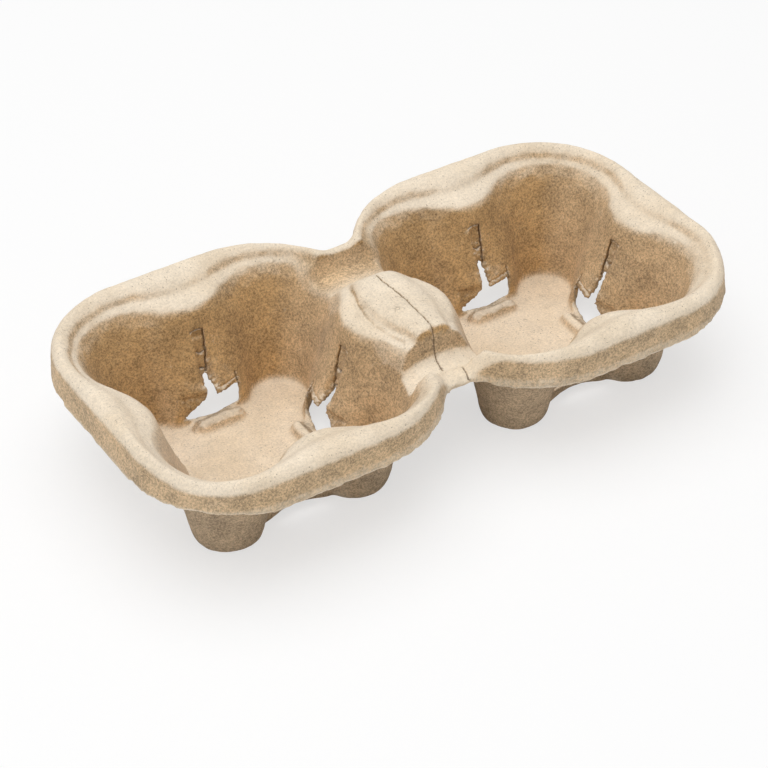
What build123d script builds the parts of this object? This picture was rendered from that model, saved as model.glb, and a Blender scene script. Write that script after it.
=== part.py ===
from build123d import *
from math import hypot, radians, sqrt, tan
from typing import NamedTuple
import os

# Two-cup carrier pressed from one sheet of paper pulp, in millimetres.
# X runs along the pair of cups, Y across it, Z up; the origin is under the middle, on the table.

# Overall size
LENGTH = 210.0
WIDTH = 109.0
HEIGHT = 45.0
SHEET = 2.0

# Distance that keeps the faces of two intersected solids from coinciding
HAIR = 0.03

# Outer rim: corner radii as shares of half a cell, notch at the waist, turned-down flange
OUTER_CORNER = 0.64
INNER_CORNER = 0.75
WAIST_DEPTH = 18.0
WAIST_FILLET = 5.0
FLANGE_DROP = 12.0
FLANGE_DRAFT = 5.0
ROLL_RADIUS = 4.0

# Pad between the cups, its lips a little above the crest, and the two finger recesses at its ends
PAD_ROUND = 2.5
PAD_LIP = 0.3
FRONT_RECESS_LENGTH = 12.0
FRONT_RECESS_DEPTH = 11.0
FRONT_PAD_SLOPE = 1.5
BACK_RECESS_LENGTH = 21.5
BACK_RECESS_DEPTH = 6.5
BACK_PAD_SLOPE = 9.0
RECESS_FILLET = 3.5
RECESS_SADDLE = 4.0
RECESS_REACH = 16.0
RECESS_SLOPE = 1.5
WAIST_RIM = 4.0

# Dips of the rim at the waist: depth below the crest, half width at the bottom and at the crest
FRONT_DIP_DEPTH = 9.5
FRONT_DIP_BOTTOM = 4.5
FRONT_DIP_TOP = 13.0
BACK_DIP_DEPTH = 2.5
BACK_DIP_BOTTOM = 4.0
BACK_DIP_TOP = 12.0
DIP_FILLET = 3.0
DIP_SHOULDER = 10.0
DIP_ROLL = 2.4

# Window in the middle of each side of a well: a panel pressed thin, torn open below two flaps
WINDOW_BOTTOM = 4.5
WINDOW_TOP = 12.8
WINDOW_WIDTH = 20.0
SHORT_FLAP_EDGE = 8.6
LONG_FLAP_EDGE = 11.0
LONG_FLAP_TIP = 5.2

# Slit torn up from the window, and the pressed groove that carries it on up the wall
SLIT_WIDTH = 3.0
SLIT_TIP_WIDTH = 1.2
SLIT_TOP = 20.5
GROOVE_FOOT = 2.4
GROOVE_WIDTH = 4.4
GROOVE_TOP = 31.5
PRESS_DEPTH = 0.8

# Bead along the sill of each window, its crown rounded by a share of half its width
BEAD_LENGTH = 18.0
BEAD_WIDTH = 5.6
BEAD_TOP = 6.2
BEAD_CROWN = 0.9
BEAD_INSET = 33.8

# Reach of the cutters of a window, from the edge of a cell inward
WINDOW_INSET = 33.0
WALL_MARGIN = 10.0


class Ring(NamedTuple):
    """One level of a well: height, reach to the side and to the corner, lobe radius."""

    level: float
    side: float
    corner: float
    lobe: float


# Inner face of a well from its floor to above the crest, drawn for a cell and height of this size
DRAWN_HALF = 52.5
DRAWN_HEIGHT = 45.0
WELL = [
    Ring(1.6, 18.4, 39.4, 8.3),
    Ring(2.4, 19.6, 40.5, 9.0),
    Ring(4.3, 20.6, 41.1, 9.4),
    Ring(12.0, 24.5, 42.6, 10.8),
    Ring(21.0, 29.0, 45.0, 13.0),
    Ring(31.0, 32.6, 48.6, 16.2),
    Ring(36.6, 34.2, 51.0, 18.7),
    Ring(39.2, 36.0, 52.6, 20.2),
    Ring(40.4, 38.9, 53.5, 22.2),
    Ring(41.0, 41.0, 54.3, 23.8),
    Ring(42.6, 42.7, 55.3, 24.9),
    Ring(44.2, 45.0, 57.0, 26.5),
    Ring(45.4, 48.2, 59.2, 29.0),
    Ring(46.6, 51.0, 61.0, 31.4),
    Ring(48.4, 53.6, 62.8, 33.8),
    Ring(51.0, 55.4, 64.0, 35.4),
]

pitch = LENGTH / 2
cell_half = min(pitch, WIDTH) / 2
waist_half = WIDTH / 2 - WAIST_DEPTH
recess_end = waist_half - WAIST_RIM
rim_bottom = HEIGHT - FLANGE_DROP


def ring_face(side, corner, lobe, z):
    """Plan of a well at one level: four lobes towards the corners, four bays on the sides."""
    c = (corner - lobe) / sqrt(2)
    bay = ((side - c) ** 2 + c**2 - lobe**2) / (2 * (lobe - side + c))
    turn = Vector(side + bay - c, c).get_angle(Vector(1, 0))
    edges = []
    for quarter in range(4):
        arc = CenterArc((side + bay, 0), bay, 180 + turn, -2 * turn)
        corner_arc = CenterArc((c, c), lobe, -turn, 90 + 2 * turn)
        edges.append(Rot(0, 0, 90 * quarter) * arc)
        edges.append(Rot(0, 0, 90 * quarter) * corner_arc)
    return Pos(0, 0, z) * Face(Wire(edges))


def well(grow):
    """Solid hollow of one well, grown outward by the given distance."""
    wide = cell_half / DRAWN_HALF
    high = HEIGHT / DRAWN_HEIGHT
    faces = []
    for i, ring in enumerate(WELL):
        below = WELL[max(i - 1, 0)]
        above = WELL[min(i + 1, len(WELL) - 1)]
        rise = (above.level - below.level) * high
        run = (above.side + above.corner - below.side - below.corner) / 2 * wide
        out = grow * rise / hypot(rise, run)
        down = grow * run / hypot(rise, run)
        if i == 0:
            out = 0
            down = grow
        sizes = [size * wide + out for size in (ring.side, ring.corner, ring.lobe)]
        faces.append(ring_face(*sizes, ring.level * high - down))
    return loft(faces)


def outline(inset):
    """Plan of the rim: two rounded cells joined by the waist, moved inward by the inset."""
    cell = Rectangle(pitch, WIDTH)
    cell = fillet(cell.vertices().group_by(Axis.X)[0], INNER_CORNER * cell_half)
    cell = fillet(cell.vertices().group_by(Axis.X)[-1], OUTER_CORNER * cell_half)
    cell = Pos(pitch / 2, 0) * cell
    plan = cell + mirror(cell, Plane.YZ) + Rectangle(pitch / 2, 2 * waist_half)
    notch = [v for v in plan.vertices() if abs(abs(v.Y) - waist_half) < 0.01]
    return offset(fillet(notch, WAIST_FILLET), -inset)


def under_crest(depth, bottom, top, grow):
    """Section of the rim along X with its dip at the waist; grow lowers it into the sheet."""
    floor = HEIGHT - depth
    crest = HEIGHT + HAIR
    shape = Polyline(
        (-LENGTH, 0),
        (-LENGTH, crest),
        (-top, crest),
        (-bottom, floor),
        (bottom, floor),
        (top, crest),
        (LENGTH, crest),
        (LENGTH, 0),
        close=True,
    )
    face = make_face(shape)
    face = fillet([v for v in face.vertices() if abs(v.Y - floor) < 0.01], DIP_FILLET)
    shoulders = [v for v in face.vertices() if abs(abs(v.X) - top) < 0.01 and v.Y > HEIGHT]
    return offset(fillet(shoulders, DIP_SHOULDER), -grow)


def dipped(grow):
    """Rim with a dip at each end of the waist, the edge of the dips rounded."""
    inner = recess_end - FRONT_RECESS_LENGTH + RECESS_FILLET
    front = under_crest(FRONT_DIP_DEPTH, FRONT_DIP_BOTTOM, FRONT_DIP_TOP, grow)
    back = under_crest(BACK_DIP_DEPTH, BACK_DIP_BOTTOM, BACK_DIP_TOP, grow)
    slab = extrude(Plane.XZ.offset(inner) * front, WIDTH)
    slab += extrude(Plane.XZ.offset(-inner) * back, -WIDTH)
    middle = HEIGHT + HAIR - grow
    slab += Box(2 * LENGTH - 2 * grow, 2 * inner, middle, align=(Align.CENTER, Align.CENTER, Align.MIN))
    plan = outline(grow)
    block = extrude(Pos(0, 0, rim_bottom) * plan, 2 * FLANGE_DROP, taper=FLANGE_DRAFT) & slab
    lean = 2 * FLANGE_DROP * tan(radians(FLANGE_DRAFT))
    edges = []
    for edge in block.edges():
        point = edge @ 0.5
        near = plan.wire().distance_to(Vector(point.X, point.Y, 0)) < lean
        if near and point.Z > rim_bottom + 0.1 and abs((edge % 0.5).Z) < 0.95:
            edges.append(edge)
    return fillet(edges, DIP_ROLL - grow)


def recess(length, depth, slope, grow):
    """Finger recess between the pad and the back rim, its floor a saddle falling to both wells."""
    pad_end = recess_end - length - grow * (hypot(slope, depth) - slope) / depth
    rim_face = recess_end + grow
    high = HEIGHT + PAD_LIP - grow
    faces = []
    for reach in (-1, 0, 1):
        low = HEIGHT - depth - RECESS_SADDLE * reach**2 - grow
        shape = Polyline(
            (pad_end - 2 * PAD_ROUND, high),
            (pad_end, high),
            (pad_end + slope, low),
            (rim_face - RECESS_SLOPE, low),
            (rim_face, high),
            (rim_face + 2 * PAD_ROUND, high),
            (rim_face + 2 * PAD_ROUND, high + PAD_ROUND + 2 * grow),
            (pad_end - 2 * PAD_ROUND, high + PAD_ROUND + 2 * grow),
            close=True,
        )
        face = make_face(shape)
        face = fillet([v for v in face.vertices() if abs(v.Y - low) < 0.01], RECESS_FILLET + grow)
        lips = [v for v in face.vertices() if abs(v.X - pad_end) < 0.01 or abs(v.X - rim_face) < 0.01]
        face = fillet(lips, PAD_ROUND - grow)
        faces.append(Plane.YZ.offset(reach * RECESS_REACH) * face)
    return loft(faces)


def rim(grow):
    """Solid of the outer rim, its upper edge rolled; grow moves every face into the sheet."""
    plan = Pos(0, 0, rim_bottom - HAIR) * outline(grow - HAIR)
    block = extrude(plan, FLANGE_DROP + HAIR - grow, taper=FLANGE_DRAFT)
    block = fillet(block.faces().sort_by(Axis.Z)[-1].edges(), ROLL_RADIUS - grow)
    return block & dipped(grow)


def bead(grow):
    """Rounded bead along the sill of one window, drawn on the +X side of a well."""
    plan = SlotOverall(BEAD_LENGTH - 2 * grow, BEAD_WIDTH - 2 * grow, rotation=90)
    bar = extrude(Pos(0, 0, -SHEET) * plan, BEAD_TOP - grow + SHEET)
    crown = bar.faces().sort_by(Axis.Z)[-1].edges()
    return Pos(cell_half - BEAD_INSET, 0, 0) * fillet(crown, BEAD_CROWN * (BEAD_WIDTH / 2 - grow))


def wall_prism(*points):
    """Prism through the +X wall of a well, its outline given across and up the wall."""
    face = make_face(Polyline(*points, close=True))
    return extrude(Plane.YZ.offset(cell_half - WINDOW_INSET) * face, WINDOW_INSET - WALL_MARGIN)


def window():
    """Cutter of one window: the torn opening below the flaps, with the slit above it."""
    half = WINDOW_WIDTH / 2
    return wall_prism(
        (-half, WINDOW_BOTTOM),
        (half, WINDOW_BOTTOM),
        (half, SHORT_FLAP_EDGE),
        (SLIT_WIDTH / 2, SHORT_FLAP_EDGE),
        (SLIT_TIP_WIDTH / 2, SLIT_TOP),
        (-SLIT_TIP_WIDTH / 2, SLIT_TOP),
        (-SLIT_WIDTH / 2, LONG_FLAP_EDGE),
        (-half, LONG_FLAP_TIP),
    )


def pressing():
    """Cutter that thins the window's panel and the groove above the slit from inside the well."""
    half = WINDOW_WIDTH / 2
    panel = wall_prism(
        (-half, WINDOW_BOTTOM),
        (half, WINDOW_BOTTOM),
        (half, WINDOW_TOP),
        (-half, WINDOW_TOP),
    )
    groove = wall_prism(
        (-GROOVE_FOOT / 2, WINDOW_TOP),
        (GROOVE_FOOT / 2, WINDOW_TOP),
        (GROOVE_WIDTH / 2, GROOVE_TOP),
        (-GROOVE_WIDTH / 2, GROOVE_TOP),
    )
    return (panel + groove) & well(PRESS_DEPTH)


def around(shape):
    """Copies of a shape drawn on the +X wall, one on each wall of both wells, two of four mirrored."""
    flipped = mirror(shape, Plane.XZ)
    return [
        Pos(end * pitch / 2, 0, 0) * Rot(0, 0, 90 * side) * (flipped if side in (1, 2) else shape)
        for end in (-1, 1)
        for side in range(4)
    ]


def under(grow):
    """Everything below one face of the sheet: grow 0 is the upper face, grow SHEET the lower one."""
    spread = 1 + grow / SHEET
    depth = 2 * HEIGHT + grow
    size = (spread * LENGTH, spread * WIDTH, depth)
    ground = Box(*size, align=(Align.CENTER, Align.CENTER, Align.MAX))
    solid = rim(grow) + Pos(0, 0, rim_bottom) * ground
    for end in (-1, 1):
        solid -= Pos(end * pitch / 2, 0, 0) * well(grow)
    front = recess(FRONT_RECESS_LENGTH, FRONT_RECESS_DEPTH, FRONT_PAD_SLOPE, grow)
    solid -= mirror(front, Plane.XZ)
    solid -= recess(BACK_RECESS_LENGTH, BACK_RECESS_DEPTH, BACK_PAD_SLOPE, grow)
    return solid + Pos(0, 0, SHEET - grow) * ground + around(bead(grow))


os.makedirs("parts", exist_ok=True)
carrier = under(0) - under(SHEET) - around(pressing()) - around(window())
export_step(carrier, "parts/carrier.step")
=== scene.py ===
"""Two-cup carrier of moulded paper pulp: the dressed sheet, its finish and a plain studio."""

import logging
import math
from collections.abc import Iterator
from dataclasses import dataclass, field
from enum import Enum

import bmesh
import bpy
from mathutils import Matrix, Vector, noise
from mathutils.bvhtree import BVHTree
from mathutils.kdtree import KDTree


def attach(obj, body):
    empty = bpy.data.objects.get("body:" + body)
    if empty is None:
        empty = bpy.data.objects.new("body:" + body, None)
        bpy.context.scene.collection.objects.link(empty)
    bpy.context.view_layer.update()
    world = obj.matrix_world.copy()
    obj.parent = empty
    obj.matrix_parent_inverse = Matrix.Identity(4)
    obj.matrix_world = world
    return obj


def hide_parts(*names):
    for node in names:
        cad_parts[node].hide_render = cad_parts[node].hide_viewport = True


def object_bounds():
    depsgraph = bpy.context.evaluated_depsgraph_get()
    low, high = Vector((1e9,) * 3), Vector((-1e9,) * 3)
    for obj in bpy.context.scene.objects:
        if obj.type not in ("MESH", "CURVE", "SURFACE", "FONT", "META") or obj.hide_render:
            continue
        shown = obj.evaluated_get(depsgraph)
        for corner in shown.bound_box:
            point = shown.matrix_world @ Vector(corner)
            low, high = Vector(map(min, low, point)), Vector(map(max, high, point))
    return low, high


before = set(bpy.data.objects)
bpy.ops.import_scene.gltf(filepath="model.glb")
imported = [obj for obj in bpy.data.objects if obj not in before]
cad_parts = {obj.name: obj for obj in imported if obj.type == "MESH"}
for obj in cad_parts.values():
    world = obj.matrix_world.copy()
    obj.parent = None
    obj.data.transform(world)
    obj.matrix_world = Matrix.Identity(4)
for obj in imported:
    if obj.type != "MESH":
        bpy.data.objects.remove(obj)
CAD_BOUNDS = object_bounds()

LOG = logging.getLogger("carrier_scene")
MM = 0.001
IMAGE_PIXELS = 768
SCREEN_WHITE = 255.0
RIM_POWER = 4
NOISE_SEED = 7

Colour = tuple[float, float, float, float]
Limits = tuple[float, float]
Spot = tuple[float, float]

WHITE: Colour = (1.0, 1.0, 1.0, 1.0)


class SurfaceMark(Enum):
    """Marks kept on the sheet's vertices for its finish to read."""

    # tear: torn fibres, with painted shade in cracks and recessed window panels.
    TEAR_AND_CRACK_SHADE = "tear"
    FRAY = "fray"
    # wall: painted shade, laid on the wells' inner walls and floors, the flange, the pad ends and the
    # back recess.
    WALL = "wall"
    # Painted shade on the legs under the flange.
    LEG_SHADE = "leg_shade"


class BlendMode(Enum):
    """Ways to lay one colour over another."""

    MIX = "MIX"
    MULTIPLY = "MULTIPLY"


def mm(low: float, high: float) -> Limits:
    """Give two limits that are stated in millimetres."""
    return low * MM, high * MM


def smooth_step(value: float, low: float, high: float) -> float:
    """Ease a value from 0 at low to 1 at high.

    Args:
        value: The value to ease.
        low: Value that gives 0.
        high: Value that gives 1.

    Returns:
        The eased share, between 0 and 1.
    """
    share = min(max((value - low) / (high - low), 0.0), 1.0)
    return share * share * (3.0 - 2.0 * share)


def from_well(place: Vector, half_pitch: float) -> float:
    """Measure how far a place is from the middle of its well, by the rim's rounded square.

    Args:
        place: The point.
        half_pitch: Distance from the middle to the centre of a well.

    Returns:
        The distance, the same all round a rounded square.
    """
    x = abs(place.x) - half_pitch
    return (x**RIM_POWER + place.y**RIM_POWER) ** (1 / RIM_POWER)


def in_box(place: Vector) -> list[float]:
    """Bring a point inside the node's own box.

    Args:
        place: The point.

    Returns:
        The nearest point in the box.
    """
    low, high = CAD_BOUNDS
    return [min(max(place[k], low[k]), high[k]) for k in range(3)]


def rgb(red: int, green: int, blue: int) -> Colour:
    """Turn a colour as seen on a screen into linear values, by the screen's tone curve.

    Args:
        red: Red, 0 to 255.
        green: Green, 0 to 255.
        blue: Blue, 0 to 255.

    Returns:
        Linear red, green, blue and an alpha of 1.
    """
    linear = []
    for value in (red, green, blue):
        share = value / SCREEN_WHITE
        linear.append(share / 12.92 if share <= 0.04045 else ((share + 0.055) / 1.055) ** 2.4)
    return (*linear, 1.0)


@dataclass(frozen=True)
class SoftStep:
    """A soft step of a shader value: the limits it runs between and the results there."""

    low: float
    high: float
    start: float = 0.0
    end: float = 1.0


@dataclass(frozen=True)
class Pattern:
    """A noise: its scale in cycles per metre, its octaves and how strong the finer ones are."""

    scale: float
    detail: float
    roughness: float


@dataclass(frozen=True)
class Hairs:
    """One set of stray fibres: its colour, its shift in the noise and its strength."""

    colour: Colour
    shift: float
    strength: float


class ShaderGraph:
    """A node tree with short calls to add nodes and join them."""

    # A Mix node's sockets for colours: share, first and second, and the result.
    MIX_INPUTS: tuple[int, int, int] = (0, 6, 7)
    MIX_OUTPUT: int = 2

    def __init__(self, tree: bpy.types.NodeTree) -> None:
        """Take over a tree and clear it."""
        self.tree = tree
        self.tree.nodes.clear()

    def add(self, kind: str, **settings: object) -> bpy.types.Node:
        """Add a node.

        Args:
            kind: Node type name.
            **settings: Attributes to set on the node.

        Returns:
            The new node.
        """
        node = self.tree.nodes.new(kind)
        for name, value in settings.items():
            setattr(node, name, value)
        return node

    def feed(self, node: bpy.types.Node, socket: str | int, value: object) -> None:
        """Join an output to a node's input, or set the input to a constant.

        Args:
            node: The node that takes the value.
            socket: Name or index of its input.
            value: An output socket, or a constant.
        """
        target = node.inputs[socket]
        if isinstance(value, bpy.types.NodeSocket):
            self.tree.links.new(value, target)
        else:
            target.default_value = value

    def math(self, operation: str, *values: object) -> bpy.types.NodeSocket:
        """Add a Math node.

        Args:
            operation: The node's operation.
            *values: Outputs or numbers for its inputs, in order.

        Returns:
            The node's output.
        """
        node = self.add("ShaderNodeMath", operation=operation)
        for index, value in enumerate(values):
            self.feed(node, index, value)
        return node.outputs[0]

    def mark(self, mark: SurfaceMark) -> bpy.types.NodeSocket:
        """Read a mark kept on the vertices."""
        return self.add("ShaderNodeAttribute", attribute_name=mark.value).outputs["Fac"]

    def ease(self, value: object, step: SoftStep) -> bpy.types.NodeSocket:
        """Map a value from one range to another with soft ends.

        Args:
            value: The output to map.
            step: The limits, and the results there.

        Returns:
            The mapped output.
        """
        node = self.add("ShaderNodeMapRange", interpolation_type="SMOOTHSTEP")
        self.feed(node, "Value", value)
        self.feed(node, "From Min", step.low)
        self.feed(node, "From Max", step.high)
        self.feed(node, "To Min", step.start)
        self.feed(node, "To Max", step.end)
        return node.outputs[0]

    def blend(
        self, share: object, first: object, second: object, mode: BlendMode = BlendMode.MIX
    ) -> bpy.types.NodeSocket:
        """Lay a second colour over a first.

        Args:
            share: Share of the second colour.
            first: First colour.
            second: Second colour.
            mode: How the second is laid over the first.

        Returns:
            The colour output.
        """
        node = self.add("ShaderNodeMix", data_type="RGBA", blend_type=mode.value)
        for socket, value in zip(self.MIX_INPUTS, (share, first, second)):
            self.feed(node, socket, value)
        return node.outputs[self.MIX_OUTPUT]

    def noise(self, place: object, pattern: Pattern) -> bpy.types.NodeSocket:
        """Add a Noise Texture and return its value output.

        Args:
            place: Coordinates.
            pattern: The noise.

        Returns:
            The noise value, around 0.5.
        """
        node = self.add("ShaderNodeTexNoise", noise_dimensions="3D")
        self.feed(node, "Vector", place)
        self.feed(node, "Scale", pattern.scale)
        self.feed(node, "Detail", pattern.detail)
        self.feed(node, "Roughness", pattern.roughness)
        return node.outputs[0]

    def shifted(self, place: object, offset: float) -> bpy.types.NodeSocket:
        """Move coordinates, so that two patterns of one scale don't fall on each other.

        Args:
            place: Coordinates.
            offset: Distance along each axis, in metres.

        Returns:
            The moved coordinates.
        """
        node = self.add("ShaderNodeVectorMath", operation="ADD")
        self.feed(node, 0, place)
        self.feed(node, 1, (offset, offset, offset))
        return node.outputs[0]


@dataclass(frozen=True)
class PulpFinish:
    """Matte moulded pulp: pale brown felted fibres with grain, dark specks and stray hairs, with
    painted shade on its walls, legs and cracks.
    """

    pale: Colour = rgb(242, 227, 205)
    warm: Colour = rgb(233, 215, 189)
    # Painted shade: the darker, browner colour of walls and recesses that lie in shade.
    wall: Colour = rgb(195, 160, 113)
    # Painted shade: the greyer brown of the legs, which stand in shade under the flange.
    leg_shade: Colour = rgb(193, 169, 139)
    speck: Colour = rgb(84, 62, 42)
    # Torn fibres' colour, also used as painted shade in cracks and recessed window panels.
    torn: Colour = rgb(84, 60, 36)
    frayed: Colour = rgb(240, 227, 205)
    dark_hairs: Hairs = Hairs(rgb(122, 96, 68), 0.0, 0.35)
    light_hairs: Hairs = Hairs(rgb(246, 234, 214), 0.37, 0.15)
    roughness: float = 0.9
    specular: float = 0.25
    sheen: float = 0.08
    clouds: Pattern = Pattern(40.0, 4.0, 0.55)
    cloud_step: SoftStep = SoftStep(0.3, 0.7)
    mottle: Pattern = Pattern(110.0, 3.0, 0.6)
    mottle_step: SoftStep = SoftStep(0.32, 0.68, 0.07, -0.1)
    grain: Pattern = Pattern(1450.0, 3.0, 0.8)
    grain_step: SoftStep = SoftStep(0.36, 0.66, 0.17, -0.25)
    felt: Pattern = Pattern(420.0, 4.0, 0.62)
    felt_step: SoftStep = SoftStep(0.3, 0.7, 0.05, -0.07)
    tone_reach: SoftStep = SoftStep(0.0, 0.8, 0.45, 1.45)
    hair_curls: Pattern = Pattern(260.0, 1.0, 0.5)
    hair_middle: float = 0.5
    hair_line: Limits = (0.003, 0.011)
    hair_pieces: Pattern = Pattern(182.0, 1.0, 0.5)
    hair_pieces_shift: float = 0.21
    hair_pieces_step: SoftStep = SoftStep(0.6, 0.68)
    speck_scale: float = 1300.0
    speck_size: SoftStep = SoftStep(0.5, 1.0, 0.0, 0.34)
    speck_edge: SoftStep = SoftStep(0.0, 0.16, 0.0, 0.5)
    grain_bump: float = 0.45
    bump_depth: float = 0.4 * MM
    bump_strength: float = 0.7

    def material(self) -> bpy.types.Material:
        """Build the material.

        Returns:
            The finished material.
        """
        material = bpy.data.materials.new("moulded_pulp")
        material.use_nodes = True
        graph = ShaderGraph(material.node_tree)
        place = graph.add("ShaderNodeTexCoord").outputs["Object"]
        grain = graph.noise(place, self.grain)
        felt = graph.noise(place, self.felt)
        shader = graph.add("ShaderNodeBsdfPrincipled")
        graph.feed(shader, "Base Color", self._colour(graph, place, grain, felt))
        graph.feed(shader, "Roughness", self.roughness)
        graph.feed(shader, "Specular IOR Level", self.specular)
        graph.feed(shader, "Sheen Weight", self.sheen)
        bump = graph.add("ShaderNodeBump")
        fine = graph.math("MULTIPLY", grain, self.grain_bump)
        graph.feed(bump, "Height", graph.math("ADD", felt, fine))
        graph.feed(bump, "Distance", self.bump_depth)
        graph.feed(bump, "Strength", self.bump_strength)
        graph.feed(shader, "Normal", bump.outputs[0])
        output = graph.add("ShaderNodeOutputMaterial")
        graph.feed(output, "Surface", shader.outputs[0])
        return material

    def _colour(
        self,
        graph: ShaderGraph,
        place: bpy.types.NodeSocket,
        grain: bpy.types.NodeSocket,
        felt: bpy.types.NodeSocket,
    ) -> bpy.types.NodeSocket:
        """Lay clouds, painted shade on walls and legs, grain, hairs, specks and torn places with
        painted crack shade over each other.

        Args:
            graph: The material's tree.
            place: Object coordinates.
            grain: Fine noise.
            felt: Coarser noise.

        Returns:
            The colour output.
        """
        clouds = graph.noise(place, self.clouds)
        colour = graph.blend(graph.ease(clouds, self.cloud_step), self.pale, self.warm)
        # Painted shade on walls, flange and recesses.
        wall = graph.mark(SurfaceMark.WALL)
        colour = graph.blend(wall, colour, self.wall)
        # Painted shade on the legs.
        leg_shade = graph.mark(SurfaceMark.LEG_SHADE)
        colour = graph.blend(leg_shade, colour, self.leg_shade)
        fine = graph.ease(grain, self.grain_step)
        coarse = graph.ease(felt, self.felt_step)
        mottle = graph.ease(graph.noise(place, self.mottle), self.mottle_step)
        tone = graph.math("ADD", mottle, graph.math("ADD", fine, coarse))
        reach = graph.ease(graph.math("MAXIMUM", wall, leg_shade), self.tone_reach)
        tone = graph.math("MULTIPLY_ADD", tone, reach, 1.0)
        grey = graph.add("ShaderNodeCombineColor")
        for channel in range(3):
            graph.feed(grey, channel, tone)
        colour = graph.blend(1.0, colour, grey.outputs[0], BlendMode.MULTIPLY)
        for hairs in (self.dark_hairs, self.light_hairs):
            colour = graph.blend(self._hairs(graph, place, hairs), colour, hairs.colour)
        colour = graph.blend(self._specks(graph, place), colour, self.speck)
        colour = graph.blend(graph.mark(SurfaceMark.FRAY), colour, self.frayed)
        # Torn fibres, darker where painted shade fills cracks and recessed panels.
        return graph.blend(graph.mark(SurfaceMark.TEAR_AND_CRACK_SHADE), colour, self.torn)

    def _hairs(
        self, graph: ShaderGraph, place: bpy.types.NodeSocket, hairs: Hairs
    ) -> bpy.types.NodeSocket:
        """Draw short thin curls where a noise crosses its middle value.

        Args:
            graph: The material's tree.
            place: Object coordinates.
            hairs: The set of hairs.

        Returns:
            The mask output.
        """
        moved = graph.shifted(place, hairs.shift)
        curls = graph.noise(moved, self.hair_curls)
        off_line = graph.math("ABSOLUTE", graph.math("SUBTRACT", curls, self.hair_middle))
        line = graph.ease(off_line, SoftStep(*self.hair_line, hairs.strength, 0.0))
        elsewhere = graph.shifted(moved, hairs.shift + self.hair_pieces_shift)
        pieces = graph.noise(elsewhere, self.hair_pieces)
        return graph.math("MULTIPLY", line, graph.ease(pieces, self.hair_pieces_step))

    def _specks(self, graph: ShaderGraph, place: bpy.types.NodeSocket) -> bpy.types.NodeSocket:
        """Scatter small dark specks of uneven size.

        Args:
            graph: The material's tree.
            place: Object coordinates.

        Returns:
            The mask output.
        """
        cells = graph.add("ShaderNodeTexVoronoi", voronoi_dimensions="3D", feature="F1")
        graph.feed(cells, "Vector", place)
        graph.feed(cells, "Scale", self.speck_scale)
        pick = graph.add("ShaderNodeSeparateColor")
        graph.feed(pick, 0, cells.outputs["Color"])
        size = graph.ease(pick.outputs[0], self.speck_size)
        near = graph.math("SUBTRACT", size, cells.outputs["Distance"])
        return graph.ease(near, self.speck_edge)


@dataclass(frozen=True)
class TornWindow:
    """One window of a well: its torn outline across and up the wall, and the walls it is in."""

    half_pitch: float = 52.5 * MM
    half_width: float = 10.0 * MM
    bottom: float = 4.5 * MM
    panel_top: float = 12.8 * MM
    short_edge: float = 10.8 * MM
    long_edge: float = 11.0 * MM
    long_tip: float = 5.2 * MM
    slit_half: float = 1.5 * MM
    slit_tip_half: float = 0.6 * MM
    slit_top: float = 17.6 * MM
    groove_half: float = 2.0 * MM
    groove_top: float = 31.5 * MM
    nearest_wall: float = 19.0 * MM
    farthest_wall: float = 42.0 * MM

    def outline(self) -> list[Vector]:
        """Give the corners of the opening, across and up the wall.

        Returns:
            The corners, in order.
        """
        return [
            Vector((-self.half_width, self.bottom)),
            Vector((self.half_width, self.bottom)),
            Vector((self.half_width, self.short_edge)),
            Vector((self.slit_half, self.short_edge)),
            Vector((self.slit_tip_half, self.slit_top)),
            Vector((-self.slit_tip_half, self.slit_top)),
            Vector((-self.slit_half, self.long_edge)),
            Vector((-self.half_width, self.long_tip)),
        ]

    def on_wall(self, place: Vector) -> Spot | None:
        """Find where a point lies on the wall it is nearest to.

        Args:
            place: The point.

        Returns:
            The distance across the wall and up it, or nothing for a point off the walls.
        """
        x = abs(place.x) - self.half_pitch
        if place.x < 0.0:
            x = -x
        out = max(abs(x), abs(place.y))
        if not self.nearest_wall < out < self.farthest_wall:
            return None
        return (place.y, place.z) if abs(x) >= abs(place.y) else (x, place.z)

    def distance(self, across: float, up: float) -> float:
        """Measure how far a place on the wall is from the torn outline.

        Args:
            across: Distance across the wall.
            up: Height.

        Returns:
            The distance to the nearest edge.
        """
        place = Vector((across, up))
        corners = self.outline()
        nearest = math.inf
        for start, end in zip(corners, corners[1:] + corners[:1]):
            run = end - start
            share = min(max((place - start).dot(run) / run.length_squared, 0.0), 1.0)
            nearest = min(nearest, (place - start - run * share).length)
        return nearest

    def walls(self) -> Iterator[Matrix]:
        """Walk round the eight walls.

        Yields:
            The matrix from across, out and up on a wall to the scene.
        """
        for end in (-1.0, 1.0):
            middle = Matrix.Translation(Vector((end * self.half_pitch, 0.0, 0.0)))
            for out in (Vector((1, 0, 0)), Vector((0, 1, 0)), Vector((-1, 0, 0)), Vector((0, -1, 0))):
                across = Vector((abs(out.y), abs(out.x), 0.0))
                yield middle @ Matrix((across, out, Vector((0, 0, 1)))).transposed().to_4x4()


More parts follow.
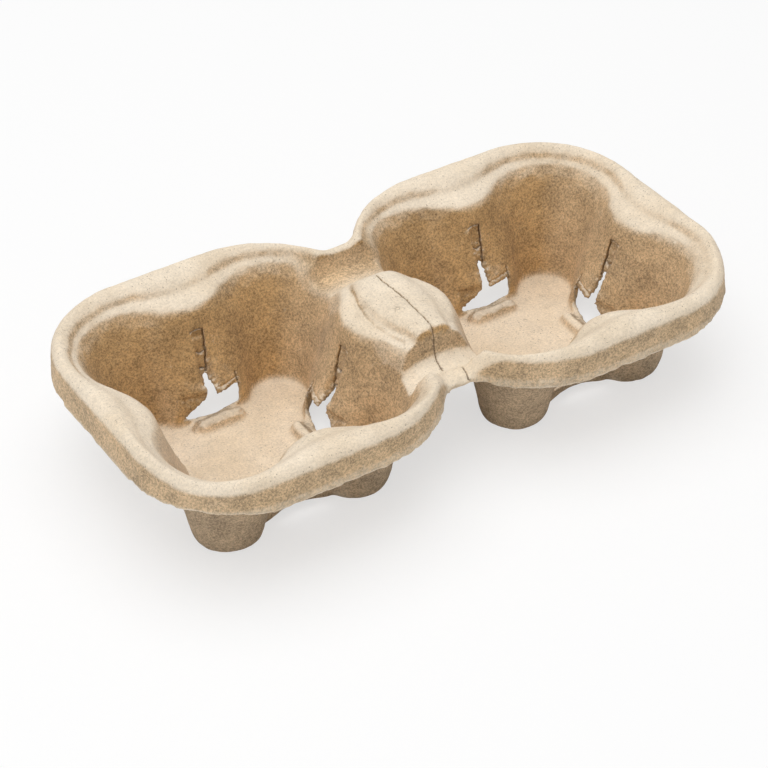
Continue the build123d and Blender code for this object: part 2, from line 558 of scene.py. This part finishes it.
@dataclass(frozen=True)
class Settling:
    """Small moves of the wet sheet: beads drift, flaps curl, the back sinks, the front rim sags."""

    bead_near: Limits = mm(10.0, 15.0)
    bead_far: Limits = mm(21.8, 26.8)
    bead_end: Limits = mm(10.5, 15.5)
    bead_top: Limits = mm(6.0, 11.0)
    bead_foot: float = 2.2 * MM
    bead_flat: float = 0.75
    bead_out: float = 2.4 * MM
    bead_along: float = -2.2 * MM
    sill_run: Limits = mm(12.5, 22.8)
    sill_half: float = 11.5 * MM
    sill_top: float = 7.0 * MM
    curl_start: Limits = mm(0.5, 2.0)
    curl_fade: float = 2.0 * MM
    curl_low: Limits = mm(5.6, 7.6)
    curl_high: Limits = mm(9.0, 14.5)
    curl_rise: float = 2.3 * MM
    slit_aside: Limits = mm(1.2, 3.5)
    slit_low: Limits = mm(12.0, 19.5)
    slit_high: Limits = mm(21.5, 28.5)
    slit_shut: float = 3.0 * MM
    recess_front: Limits = mm(14.0, 27.0)
    recess_back: Limits = mm(29.5, 32.8)
    recess_side: Limits = mm(10.0, 18.0)
    recess_sink: float = 2.2 * MM
    sag: float = 2.0 * MM
    sag_forward: Limits = mm(24.0, 44.0)
    sag_rise: Limits = mm(24.0, 33.0)
    corner_sag: float = 1.3 * MM
    corner: Limits = mm(70.0, 92.0)
    crest: Limits = mm(33.0, 43.0)
    ledge_foot: float = 37.0 * MM
    ledge_ring: Limits = mm(34.0, 48.0)
    ledge_front: float = -24.0 * MM
    ledge_left: float = -82.0 * MM
    ledge_left_back: float = 12.0 * MM
    pad_side: Limits = mm(3.0, 13.5)
    pad_side_half: float = 17.0 * MM

    def shift(self, place: Vector, window: TornWindow) -> Vector:
        """Find how a point of the sheet moves.

        Args:
            place: The point.
            window: The windows' shape and place.

        Returns:
            The move.
        """
        rise = self._tear(place, window)
        if place.z > self.bead_top[1]:
            return Vector((0.0, 0.0, rise - self._recess(place) - self._front(place)))
        return self._bead(place, window.half_pitch) + Vector((0.0, 0.0, rise))

    def _tear(self, place: Vector, window: TornWindow) -> float:
        """Give how far the short flap curls up and the left well's slit closes at a place.

        Args:
            place: The point.
            window: The windows' shape and place.

        Returns:
            The rise, less than 0 where the slit closes.
        """
        spot = window.on_wall(place)
        if spot is None or place.z > self.slit_high[1]:
            return 0.0
        across, up = spot
        curl = smooth_step(across, *self.curl_start)
        curl *= 1.0 - smooth_step(across, window.half_width, window.half_width + self.curl_fade)
        curl *= smooth_step(up, *self.curl_low)
        curl *= 1.0 - smooth_step(up, *self.curl_high)
        shut = 1.0 - smooth_step(abs(across), *self.slit_aside)
        shut *= smooth_step(up, *self.slit_low)
        shut *= 1.0 - smooth_step(up, *self.slit_high)
        return self.curl_rise * curl - (self.slit_shut * shut if place.x < 0.0 else 0.0)

    def _bead(self, place: Vector, half_pitch: float) -> Vector:
        """Find how a bead drifts on the well's floor.

        Args:
            place: The point.
            half_pitch: Distance from the middle to the centre of a well.

        Returns:
            The move.
        """
        x = place.x - math.copysign(half_pitch, place.x)
        along_x = abs(x) > abs(place.y)
        out, across = (x, place.y) if along_x else (place.y, x)
        share = smooth_step(abs(out), *self.bead_near)
        share *= 1.0 - smooth_step(abs(out), *self.bead_far)
        share *= 1.0 - smooth_step(abs(across), *self.bead_end)
        share *= 1.0 - smooth_step(place.z, *self.bead_top)
        if along_x and out > 0.0:
            return Vector((0.0, self.bead_along * share, 0.0))
        move = math.copysign(self.bead_out * share, out)
        if along_x:
            return Vector((move, 0.0, -self.bead_flat * share * max(place.z - self.bead_foot, 0.0)))
        return Vector((0.0, move, 0.0))

    def _recess(self, place: Vector) -> float:
        """Give how far the back finger recess sinks.

        Args:
            place: The point.

        Returns:
            The drop there.
        """
        share = smooth_step(place.y, *self.recess_front)
        share *= 1.0 - smooth_step(place.y, *self.recess_back)
        share *= 1.0 - smooth_step(abs(place.x), *self.recess_side)
        return self.recess_sink * share

    def _front(self, place: Vector) -> float:
        """Give how far the front rim sags; at its corners the crest sags and the raw edge holds.

        Args:
            place: The point.

        Returns:
            The drop there.
        """
        forward = smooth_step(-place.y, *self.sag_forward)
        if forward == 0.0:
            return 0.0
        corner = smooth_step(abs(place.x), *self.corner)
        crest = smooth_step(place.z, *self.crest)
        edge = self.sag * smooth_step(place.z, *self.sag_rise) * (1.0 - corner * (1.0 - crest))
        left = corner if place.x < 0.0 else 0.0
        return forward * (edge + self.corner_sag * left * crest)

    def on_bead(self, place: Vector, half_pitch: float) -> bool:
        """Say whether a point is on a bead or its sill.

        Args:
            place: The point.
            half_pitch: Distance from the middle to the centre of a well.

        Returns:
            Whether it is.
        """
        x = place.x - math.copysign(half_pitch, place.x)
        out = max(abs(x), abs(place.y))
        across = min(abs(x), abs(place.y))
        in_run = self.sill_run[0] < out < self.sill_run[1]
        return in_run and across < self.sill_half and place.z < self.sill_top

    def on_soft_ledge(self, place: Vector, half_pitch: float) -> bool:
        """Say whether a point is where the ledge runs smoothly into the rim or the pad.

        Args:
            place: The point.
            half_pitch: Distance from the middle to the centre of a well.

        Returns:
            Whether it is.
        """
        if place.z < self.ledge_foot:
            return False
        if self.pad_side[0] < place.x < self.pad_side[1] and abs(place.y) < self.pad_side_half:
            return True
        at_left = place.x < self.ledge_left and place.y < self.ledge_left_back
        if not (at_left or place.y < self.ledge_front):
            return False
        return self.ledge_ring[0] < from_well(place, half_pitch) < self.ledge_ring[1]


@dataclass(frozen=True)
class PaintedShade:
    """Where shade is painted on the sheet: its inner walls and well floors, flange, pad ends, back
    recess and legs.
    """

    # Steep faces inside the wells take painted shade; level faces stay pale.
    wall_lean: Limits = (0.22, 0.62)
    wall_rise: Limits = mm(1.5, 5.0)
    # The wells' floors take a little painted shade, and beads take less than the walls.
    floor: float = 0.14
    bead: float = 0.7
    # Faces turned to the left, and front faces turned to the right, take less painted shade: sides
    # made lighter for how the light falls on them.
    left_turn: Limits = (0.3, 0.9)
    left_loss: float = 0.22
    right_turn: Limits = (0.2, 0.8)
    right_loss: float = 0.6
    right_front: Limits = mm(-5.0, 10.0)
    # Upright outer faces of the flange take painted shade.
    outside_turn: Limits = (0.0, 0.5)
    flange_lean: Limits = (0.5, 0.85)
    flange: float = 0.72
    # Painted shade on the legs fades out going up towards the flange.
    leg_fade: Limits = mm(21.0, 30.5)
    # The end faces of the middle pad take painted shade.
    pad_half: float = 15.0 * MM
    pad_reach: float = 31.0 * MM
    pad_foot: float = 33.0 * MM
    pad: float = 0.72
    # The back finger recess by the pad takes painted shade.
    back_run: Limits = mm(15.0, 29.0)
    back_side: Limits = mm(9.0, 17.0)
    back_top: float = 42.0 * MM
    back: float = 0.75

    def at(
        self, place: Vector, facing: Vector, half_pitch: float, on_bead: bool
    ) -> tuple[float, float]:
        """Say how much painted shade of the walls and painted shade of the legs a place has.

        Args:
            place: A point on the sheet.
            facing: The direction the sheet faces there.
            half_pitch: Distance from the middle to the centre of a well.
            on_bead: Whether the point is on a bead or its sill.

        Returns:
            The share of painted wall shade and of painted shade of the legs, each from 0 to 1.
        """
        middle = half_pitch if place.x > 0.0 else -half_pitch
        inward = Vector((middle - place.x, -place.y, 0.0)).normalized()
        lean = 1.0 - abs(facing.z)
        beside_pad = abs(place.x) < self.pad_half and abs(place.y) < self.pad_reach
        on_pad = beside_pad and place.z > self.pad_foot
        outside = 0.0 if on_pad else smooth_step(-facing.dot(inward), *self.outside_turn)
        inner = self._inner(place, facing, lean, on_bead) * (1.0 - outside)
        if place.z < self.leg_fade[1]:
            return inner, outside * (1.0 - smooth_step(place.z, *self.leg_fade))
        return inner + self.flange * smooth_step(lean, *self.flange_lean) * outside, 0.0

    def _inner(self, place: Vector, facing: Vector, lean: float, on_bead: bool) -> float:
        """Say how much painted wall shade a place inside the wells or on the waist has.

        Args:
            place: A point on the sheet.
            facing: The direction the sheet faces there.
            lean: Steepness there, 0 for level and 1 for upright.
            on_bead: Whether the point is on a bead or its sill.

        Returns:
            The share, from 0 to 1.
        """
        # Painted shade on steep faces, less on faces turned to the light and on beads.
        tone = smooth_step(lean, *self.wall_lean) * smooth_step(place.z, *self.wall_rise)
        front = 1.0 - smooth_step(place.y, *self.right_front)
        to_left = self.left_loss * smooth_step(-facing.x, *self.left_turn)
        to_right = self.right_loss * front * smooth_step(facing.x, *self.right_turn)
        tone *= 1.0 - to_left - to_right
        if on_bead:
            tone *= self.bead
        if abs(place.x) < self.pad_half and self.pad_foot < place.z < self.back_top:
            back = smooth_step(place.y, *self.back_run)
            back *= 1.0 - smooth_step(abs(place.x), *self.back_side)
            return max(self.pad * tone, self.back * back)
        return max(tone, self.floor) if place.z < self.wall_rise[1] else tone


@dataclass(frozen=True)
class Crack:
    """A crack in the sheet's surface, drawn as a path in millimetres seen against it."""

    path: tuple[Spot, ...]
    half_width: float = 0.26 * MM
    depth: float = 0.7 * MM
    # How dark the crack is drawn: partly torn fibre, partly painted shade in the crack.
    dark: float = 0.7
    side_slope: float = 1.6
    dark_slope: float = 2.5
    wander: float = 0.25 * MM
    wander_rate: float = 0.5
    step: float = 0.2 * MM

    def places(self) -> Iterator[Spot]:
        """Walk along the path in small steps, straying a little to both sides.

        Yields:
            The two coordinates of each step.
        """
        for (x0, y0), (x1, y1) in zip(self.path, self.path[1:]):
            count = max(int(math.hypot(x1 - x0, y1 - y0) * MM / self.step), 1)
            for index in range(count):
                share = index / count
                place = Vector((x0 + (x1 - x0) * share, y0 + (y1 - y0) * share, 0.0))
                stray = noise.noise_vector(place * self.wander_rate) * self.wander / MM
                yield (place.x + stray.x) * MM, (place.y + stray.y) * MM


PAD_CRACK = Crack(
    ((-0.2, 11.0), (0.6, -4.0), (0.2, -14.0), (-0.4, -22.0), (-1.8, -28.7)), step=0.04 * MM
)
WAIST_CRACK = Crack(((3.4, -31.0), (3.1, -33.5), (2.6, -36.2)))
LEDGE_GROOVE = Crack(
    ((-9.2, 11.5), (-11.0, 6.0), (-12.2, 0.0), (-12.3, -6.0), (-11.0, -12.0), (-9.0, -17.5)),
    half_width=1.2 * MM,
    depth=0.5 * MM,
    dark=0.05,
)
WALL_CRACKS = (
    Crack(((0.6, 17.4), (1.4, 24.0), (2.0, 31.2)), half_width=0.34 * MM, depth=1.1 * MM),
    Crack(((-2.4, 31.3), (-0.6, 31.8), (2.2, 31.2)), dark=0.5),
    Crack(((-1.6, 24.6), (0.0, 23.4), (1.4, 24.2)), half_width=0.4 * MM, dark=0.4),
    Crack(((-1.2, 19.0), (0.5, 18.2)), half_width=0.4 * MM, dark=0.4),
    Crack(((9.7, 10.2), (9.8, 14.6)), half_width=0.4 * MM, depth=1.0 * MM, dark=0.6),
)


@dataclass(frozen=True)
class CrackSpot:
    """One point of a crack on the sheet, with the direction the surface faces there."""

    place: Vector
    facing: Vector
    crack: Crack


@dataclass
class CrackMap:
    """All cracks of the sheet, laid on its surface and looked up by place."""

    sheet: BVHTree
    cast_height: float = 0.2
    spots: list[CrackSpot] = field(default_factory=list)
    tree: KDTree | None = None

    def press(self, crack: Crack, wall: Matrix, from_above: bool = False) -> None:
        """Lay a crack on the surface.

        Args:
            crack: The crack.
            wall: Matrix from across, out and up to the scene; the path is across and up.
            from_above: Whether the path is across and out instead, and laid from above.
        """
        way = Vector((0.0, 0.0, -1.0)) if from_above else Vector((0.0, 1.0, 0.0))
        for first, second in crack.places():
            start = (first, second, self.cast_height) if from_above else (first, 0.0, second)
            place, facing, _, _ = self.sheet.ray_cast(wall @ Vector(start), wall.to_3x3() @ way)
            if place is not None:
                self.spots.append(CrackSpot(place, facing, crack))

    def close(self) -> None:
        """Build the look-up tree once every crack is laid."""
        self.tree = KDTree(len(self.spots))
        for index, spot in enumerate(self.spots):
            self.tree.insert(spot.place, index)
        self.tree.balance()

    def away(self, place: Vector) -> float:
        """Give the distance from a place to the nearest crack."""
        return self.tree.find(place)[2]

    def at(self, place: Vector) -> tuple[float, float]:
        """Find how deep and how dark the cracks are at a place.

        Args:
            place: A point on the surface, or on the floor of an opened crack.

        Returns:
            The depth below the surface, and the darkness from 0 to 1, which is partly painted shade
            in the crack.
        """
        _, index, away = self.tree.find(place)
        spot = self.spots[index]
        crack = spot.crack
        if away > crack.half_width + crack.depth:
            return 0.0, 0.0
        height = (place - spot.place).dot(spot.facing)
        aside = math.sqrt(max(away**2 - height**2, 0.0))
        share = 1.0 - aside / crack.half_width
        if share <= 0.0 or height > crack.half_width:
            return 0.0, 0.0
        deep = min(crack.side_slope * share, 1.0)
        return crack.depth * deep, crack.dark * min(crack.dark_slope * share, 1.0)


@dataclass
class PulpSheet:
    """The moulded sheet: the node's own form, softened, torn and roughened as pressed pulp is."""

    node: str = "carrier"
    merge_gap: float = 0.001 * MM
    voxel: float = 0.6 * MM
    soften_share: float = 0.5
    soften_passes: int = 3
    bead_passes: int = 14
    ledge_passes: int = 40
    swell_height: float = 0.22 * MM
    swell_length: float = 9.0 * MM
    pit_height: float = 0.12 * MM
    pit_length: float = 2.4 * MM
    ragged_fade: Limits = mm(0.36, 1.8)
    ragged_height: float = 0.4 * MM
    ragged_length: float = 1.1 * MM
    ragged_foot: float = 1.0 * MM
    panel_height: float = 0.35 * MM
    # Window panels are darkened: partly rough torn fibre, partly painted shade in the recess.
    panel_tear: float = 0.35
    window_fray: float = 0.15
    rim_foot: float = 33.0 * MM
    rim_fade: Limits = mm(0.45, 1.5)
    rim_ragged: float = 0.4 * MM
    rim_ragged_length: float = 2.6 * MM
    rim_least: float = 45.0 * MM
    rim_fray: float = 0.6
    refine_reach: float = 1.0 * MM
    refine_cuts: int = 2
    most_triangles: int = 190_000
    top_cracks: tuple[Crack, ...] = (PAD_CRACK, WAIST_CRACK, LEDGE_GROOVE)
    wall_cracks: tuple[Crack, ...] = WALL_CRACKS
    window: TornWindow = field(default_factory=TornWindow)
    settling: Settling = field(default_factory=Settling)
    # Where shade is painted on the sheet.
    painted_shade: PaintedShade = field(default_factory=PaintedShade)
    finish: PulpFinish = field(default_factory=PulpFinish)

    def build(self) -> bpy.types.Object:
        """Make the sheet and place it in the scene.

        Returns:
            The finished piece.
        """
        piece = self._even_copy()
        work = bmesh.new()
        work.from_mesh(piece.data)
        self._soften(work, list(work.verts), self.soften_passes)
        half_pitch = self.window.half_pitch
        beads = [vert for vert in work.verts if self.settling.on_bead(vert.co, half_pitch)]
        self._soften(work, beads, self.bead_passes)
        ledges = [vert for vert in work.verts if self.settling.on_soft_ledge(vert.co, half_pitch)]
        self._soften(work, ledges, self.ledge_passes)
        for vert in work.verts:
            vert.co += self.settling.shift(vert.co, self.window)
        work.normal_update()
        cracks = self._cracks(work)
        self._refine(work, cracks)
        self._roughen(work, cracks)
        work.to_mesh(piece.data)
        work.free()
        self._thin_out(piece)
        self._mark(piece.data, cracks)
        piece.data.materials.append(self.finish.material())
        for polygon in piece.data.polygons:
            polygon.use_smooth = True
        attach(piece, "root")
        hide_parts(self.node)
        return piece

    def _soften(
        self, work: bmesh.types.BMesh, verts: list[bmesh.types.BMVert], passes: int
    ) -> None:
        """Smooth part of the mesh.

        Args:
            work: The sheet's mesh.
            verts: Vertices to smooth.
            passes: Number of passes.
        """
        axes = {"use_axis_x": True, "use_axis_y": True, "use_axis_z": True}
        for _ in range(passes):
            bmesh.ops.smooth_vert(work, verts=verts, factor=self.soften_share, **axes)

    def _even_copy(self) -> bpy.types.Object:
        """Copy the node's mesh and remesh it evenly.

        Returns:
            An object with the even mesh.
        """
        work = bmesh.new()
        work.from_mesh(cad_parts[self.node].data)
        bmesh.ops.remove_doubles(work, verts=work.verts, dist=self.merge_gap)
        mesh = bpy.data.meshes.new("pulp_sheet")
        work.to_mesh(mesh)
        work.free()
        piece = bpy.data.objects.new("pulp_sheet", mesh)
        bpy.context.scene.collection.objects.link(piece)
        remesh = piece.modifiers.new("even", "REMESH")
        remesh.mode = "VOXEL"
        remesh.voxel_size = self.voxel
        self._apply_modifiers(piece)
        return piece

    def _apply_modifiers(self, piece: bpy.types.Object) -> None:
        """Replace a piece's mesh with what its modifiers make of it, and drop them.

        Args:
            piece: The piece.
        """
        view = bpy.context.evaluated_depsgraph_get()
        made = bpy.data.meshes.new_from_object(piece.evaluated_get(view))
        piece.modifiers.clear()
        piece.data = made

    def _cracks(self, work: bmesh.types.BMesh) -> CrackMap:
        """Lay the cracks of the pad, the waist and the window walls on the sheet.

        Args:
            work: The sheet's mesh.

        Returns:
            The cracks, ready to look up.
        """
        cracks = CrackMap(BVHTree.FromBMesh(work))
        for crack in self.top_cracks:
            cracks.press(crack, Matrix.Identity(4), from_above=True)
        for wall in self.window.walls():
            for crack in self.wall_cracks:
                cracks.press(crack, wall)
        cracks.close()
        return cracks

    def _refine(self, work: bmesh.types.BMesh, cracks: CrackMap) -> None:
        """Divide the mesh finely along the cracks.

        Args:
            work: The sheet's mesh.
            cracks: The cracks.
        """
        near = {vert for vert in work.verts if cracks.away(vert.co) < self.refine_reach}
        edges = [edge for edge in work.edges if edge.verts[0] in near and edge.verts[1] in near]
        bmesh.ops.subdivide_edges(work, edges=edges, cuts=self.refine_cuts, use_grid_fill=True)
        work.normal_update()

    def _raw_edge(self, place: Vector) -> float:
        """Say how near a place is to the raw lower edge of the rim.

        Args:
            place: A point on the sheet.

        Returns:
            The share, 1 at the edge and 0 away from it.
        """
        half_sag = self.settling.sag / 2
        high = max(abs(place.z - self.rim_foot + half_sag) - half_sag, 0.0)
        if high > self.rim_fade[1] or from_well(place, self.window.half_pitch) < self.rim_least:
            return 0.0
        return 1.0 - smooth_step(high, *self.rim_fade)

    def _torn(self, place: Vector) -> tuple[float, float]:
        """Say how near a place is to a torn window edge, and how far into its panel.

        Args:
            place: A point on the sheet.

        Returns:
            The share of the torn edge and of the rough panel, each from 0 to 1.
        """
        window = self.window
        reach = self.ragged_fade[1]
        spot = window.on_wall(place)
        if spot is None or place.z > window.groove_top + reach:
            return 0.0, 0.0
        across, up = spot
        if abs(across) > window.half_width + reach:
            return 0.0, 0.0
        edge = 1.0 - smooth_step(window.distance(across, up), *self.ragged_fade)
        edge *= smooth_step(up, window.bottom - self.ragged_foot, window.bottom + self.ragged_foot)
        in_panel = window.bottom < up < window.panel_top and abs(across) < window.half_width
        in_groove = up >= window.panel_top and abs(across) < window.groove_half
        return edge, 1.0 if in_panel or in_groove else 0.0

    def _roughen(self, work: bmesh.types.BMesh, cracks: CrackMap) -> None:
        """Raise and sink the mesh by noise, fray its torn edges and open its cracks.

        Args:
            work: The sheet's mesh.
            cracks: The cracks.
        """
        for vert in work.verts:
            place = vert.co
            lift = self.swell_height * noise.noise(place / self.swell_length)
            lift += self.pit_height * noise.noise(place / self.pit_length)
            lift -= cracks.at(place)[0]
            edge, panel = self._torn(place)
            if panel:
                lift += self.panel_height * noise.noise(place / self.ragged_length)
            moved = place + vert.normal * lift
            if edge:
                moved += noise.noise_vector(place / self.ragged_length) * (edge * self.ragged_height)
            raw = self._raw_edge(place)
            if raw:
                moved += noise.noise_vector(place / self.rim_ragged_length) * (raw * self.rim_ragged)
            vert.co = in_box(moved)

    def _thin_out(self, piece: bpy.types.Object) -> None:
        """Bring a piece under the triangle limit, inside the node's box.

        Args:
            piece: The piece.
        """
        triangles = sum(len(polygon.vertices) - 2 for polygon in piece.data.polygons)
        LOG.info("even mesh: %d triangles", triangles)
        if triangles > self.most_triangles:
            fewer = piece.modifiers.new("fewer", "DECIMATE")
            fewer.ratio = self.most_triangles / triangles
            self._apply_modifiers(piece)
        for vert in piece.data.vertices:
            vert.co = in_box(vert.co)

    def _mark(self, mesh: bpy.types.Mesh, cracks: CrackMap) -> None:
        """Write on each vertex how torn and frayed it is and how much painted shade it has, for the
        finish to read.

        Args:
            mesh: The sheet's mesh.
            cracks: The cracks.
        """
        half_pitch = self.window.half_pitch
        marks = {mark: mesh.attributes.new(mark.value, "FLOAT", "POINT").data for mark in SurfaceMark}
        for vert in mesh.vertices:
            place = vert.co
            edge, panel = self._torn(place)
            ragged = 0.5 + 0.5 * noise.noise(place / self.ragged_length)
            fray = max(self.rim_fray * self._raw_edge(place), self.window_fray * edge)
            on_bead = self.settling.on_bead(place, half_pitch)
            # Shares of painted shade on walls and on legs.
            wall, leg_shade = self.painted_shade.at(place, vert.normal, half_pitch, on_bead)
            shares = {
                # Torn fibres, with painted shade in cracks and window panels.
                SurfaceMark.TEAR_AND_CRACK_SHADE: max(cracks.at(place)[1], panel * self.panel_tear * ragged),
                SurfaceMark.FRAY: fray * ragged,
                SurfaceMark.WALL: wall,
                SurfaceMark.LEG_SHADE: leg_shade,
            }
            for mark, share in shares.items():
                marks[mark][vert.index].value = share


@dataclass(frozen=True)
class Lamp:
    """A round soft lamp."""

    name: str
    place: tuple[float, float, float]
    size: float
    power: float


@dataclass
class Studio:
    """Plain pale floor, soft light and the camera."""

    azimuth: float = -33.268
    elevation: float = 37.271
    distance: float = 0.7417
    focal_pixels: float = 2361.3
    target: tuple[float, float, float] = (0.0, 0.0, 0.022)
    target_pixel: tuple[float, float] = (396.016, 351.92)
    sensor: float = 36.0
    near_clip: float = 0.01
    floor_half: float = 3.0
    floor_gap: float = 0.1 * MM
    touch_reach: float = 0.4 * MM
    touch_light: float = 0.4
    floor_shade: float = 0.95
    floor_white: float = 0.62
    ambient: float = 0.38
    key: Lamp = Lamp("key", (-0.1, 0.12, 1.3), 1.6, 12.0)
    fill: Lamp = Lamp("fill", (-0.6, -0.5, 1.1), 0.9, 2.9)

    def build(self) -> None:
        """Set up the floor, the light, the camera and the colour view."""
        self._floor()
        self._world()
        self._lamp(self.key)
        self._lamp(self.fill)
        self._camera()
        bpy.context.scene.view_settings.view_transform = "Standard"

    def _camera(self) -> None:
        """Place the camera in front of the carrier, to its left and above."""
        turn = math.radians(self.azimuth)
        lift = math.radians(self.elevation)
        level = math.cos(lift)
        back = Vector((math.sin(turn) * level, -math.cos(turn) * level, math.sin(lift)))
        right = Vector((math.cos(turn), math.sin(turn), 0.0))
        up = back.cross(right)
        data = bpy.data.cameras.new("camera")
        data.sensor_fit = "HORIZONTAL"
        data.sensor_width = self.sensor
        data.lens = self.focal_pixels * self.sensor / IMAGE_PIXELS
        data.shift_x = (IMAGE_PIXELS / 2 - self.target_pixel[0]) / IMAGE_PIXELS
        data.shift_y = (self.target_pixel[1] - IMAGE_PIXELS / 2) / IMAGE_PIXELS
        data.clip_start = self.near_clip
        camera = bpy.data.objects.new("camera", data)
        turned = Matrix((right, up, back)).transposed().to_4x4()
        camera.matrix_world = Matrix.Translation(Vector(self.target) + back * self.distance) @ turned
        bpy.context.scene.collection.objects.link(camera)
        bpy.context.scene.camera = camera

    def _floor(self) -> None:
        """Lay a wide white floor under the carrier."""
        work = bmesh.new()
        bmesh.ops.create_grid(work, x_segments=1, y_segments=1, size=self.floor_half)
        bmesh.ops.translate(work, verts=work.verts, vec=(0.0, 0.0, -self.floor_gap))
        mesh = bpy.data.meshes.new("floor")
        work.to_mesh(mesh)
        work.free()
        floor = bpy.data.objects.new("floor", mesh)
        bpy.context.scene.collection.objects.link(floor)
        mesh.materials.append(self._floor_material())

    def _floor_material(self) -> bpy.types.Material:
        """Make the floor's finish: white that still takes a shadow, and clear from below.

        Returns:
            The finished material.
        """
        material = bpy.data.materials.new("white_floor")
        material.use_nodes = True
        graph = ShaderGraph(material.node_tree)
        shadowed = graph.add("ShaderNodeBsdfDiffuse")
        graph.feed(shadowed, "Color", (self.floor_shade, self.floor_shade, self.floor_shade, 1.0))
        white = graph.add("ShaderNodeEmission")
        path = graph.add("ShaderNodeLightPath")
        seen = graph.math("MULTIPLY", path.outputs["Is Camera Ray"], self.floor_white)
        # A little light where a foot all but touches the floor, so that its sole isn't black.
        touching = graph.math("LESS_THAN", path.outputs["Ray Length"], self.touch_reach)
        touched = graph.math("MULTIPLY", touching, self.touch_light)
        mix = graph.add("ShaderNodeMixShader")
        graph.feed(mix, 0, graph.math("MAXIMUM", seen, touched))
        graph.feed(mix, 1, shadowed.outputs[0])
        graph.feed(mix, 2, white.outputs[0])
        see_through = graph.add("ShaderNodeMixShader")
        graph.feed(see_through, 0, graph.add("ShaderNodeNewGeometry").outputs["Backfacing"])
        graph.feed(see_through, 1, mix.outputs[0])
        graph.feed(see_through, 2, graph.add("ShaderNodeBsdfTransparent").outputs[0])
        output = graph.add("ShaderNodeOutputMaterial")
        graph.feed(output, "Surface", see_through.outputs[0])
        return material

    def _world(self) -> None:
        """Give even light from all round, and plain white behind the floor."""
        world = bpy.data.worlds.new("studio")
        bpy.context.scene.world = world
        world.use_nodes = True
        graph = ShaderGraph(world.node_tree)
        path = graph.add("ShaderNodeLightPath")
        strength = graph.math("MAXIMUM", path.outputs["Is Camera Ray"], self.ambient)
        light = graph.add("ShaderNodeBackground")
        graph.feed(light, "Strength", strength)
        graph.feed(light, "Color", WHITE)
        output = graph.add("ShaderNodeOutputWorld")
        graph.feed(output, "Surface", light.outputs[0])

    def _lamp(self, lamp: Lamp) -> None:
        """Hang a soft lamp and point it at the carrier.

        Args:
            lamp: The lamp.
        """
        data = bpy.data.lights.new(lamp.name, "AREA")
        data.shape = "DISK"
        data.size = lamp.size
        data.energy = lamp.power
        hung = bpy.data.objects.new(lamp.name, data)
        hung.location = lamp.place
        aim = Vector(self.target) - Vector(lamp.place)
        hung.rotation_euler = aim.to_track_quat("-Z", "Y").to_euler()
        bpy.context.scene.collection.objects.link(hung)


def main() -> None:
    """Build the pieces in order and report each one."""
    logging.basicConfig(level=logging.INFO, format="%(name)s: %(message)s")
    noise.seed_set(NOISE_SEED)
    sheet = PulpSheet().build()
    LOG.info("%s: %d faces", sheet.name, len(sheet.data.polygons))
    Studio().build()
    LOG.info("studio ready")


if __name__ == "__main__":
    main()
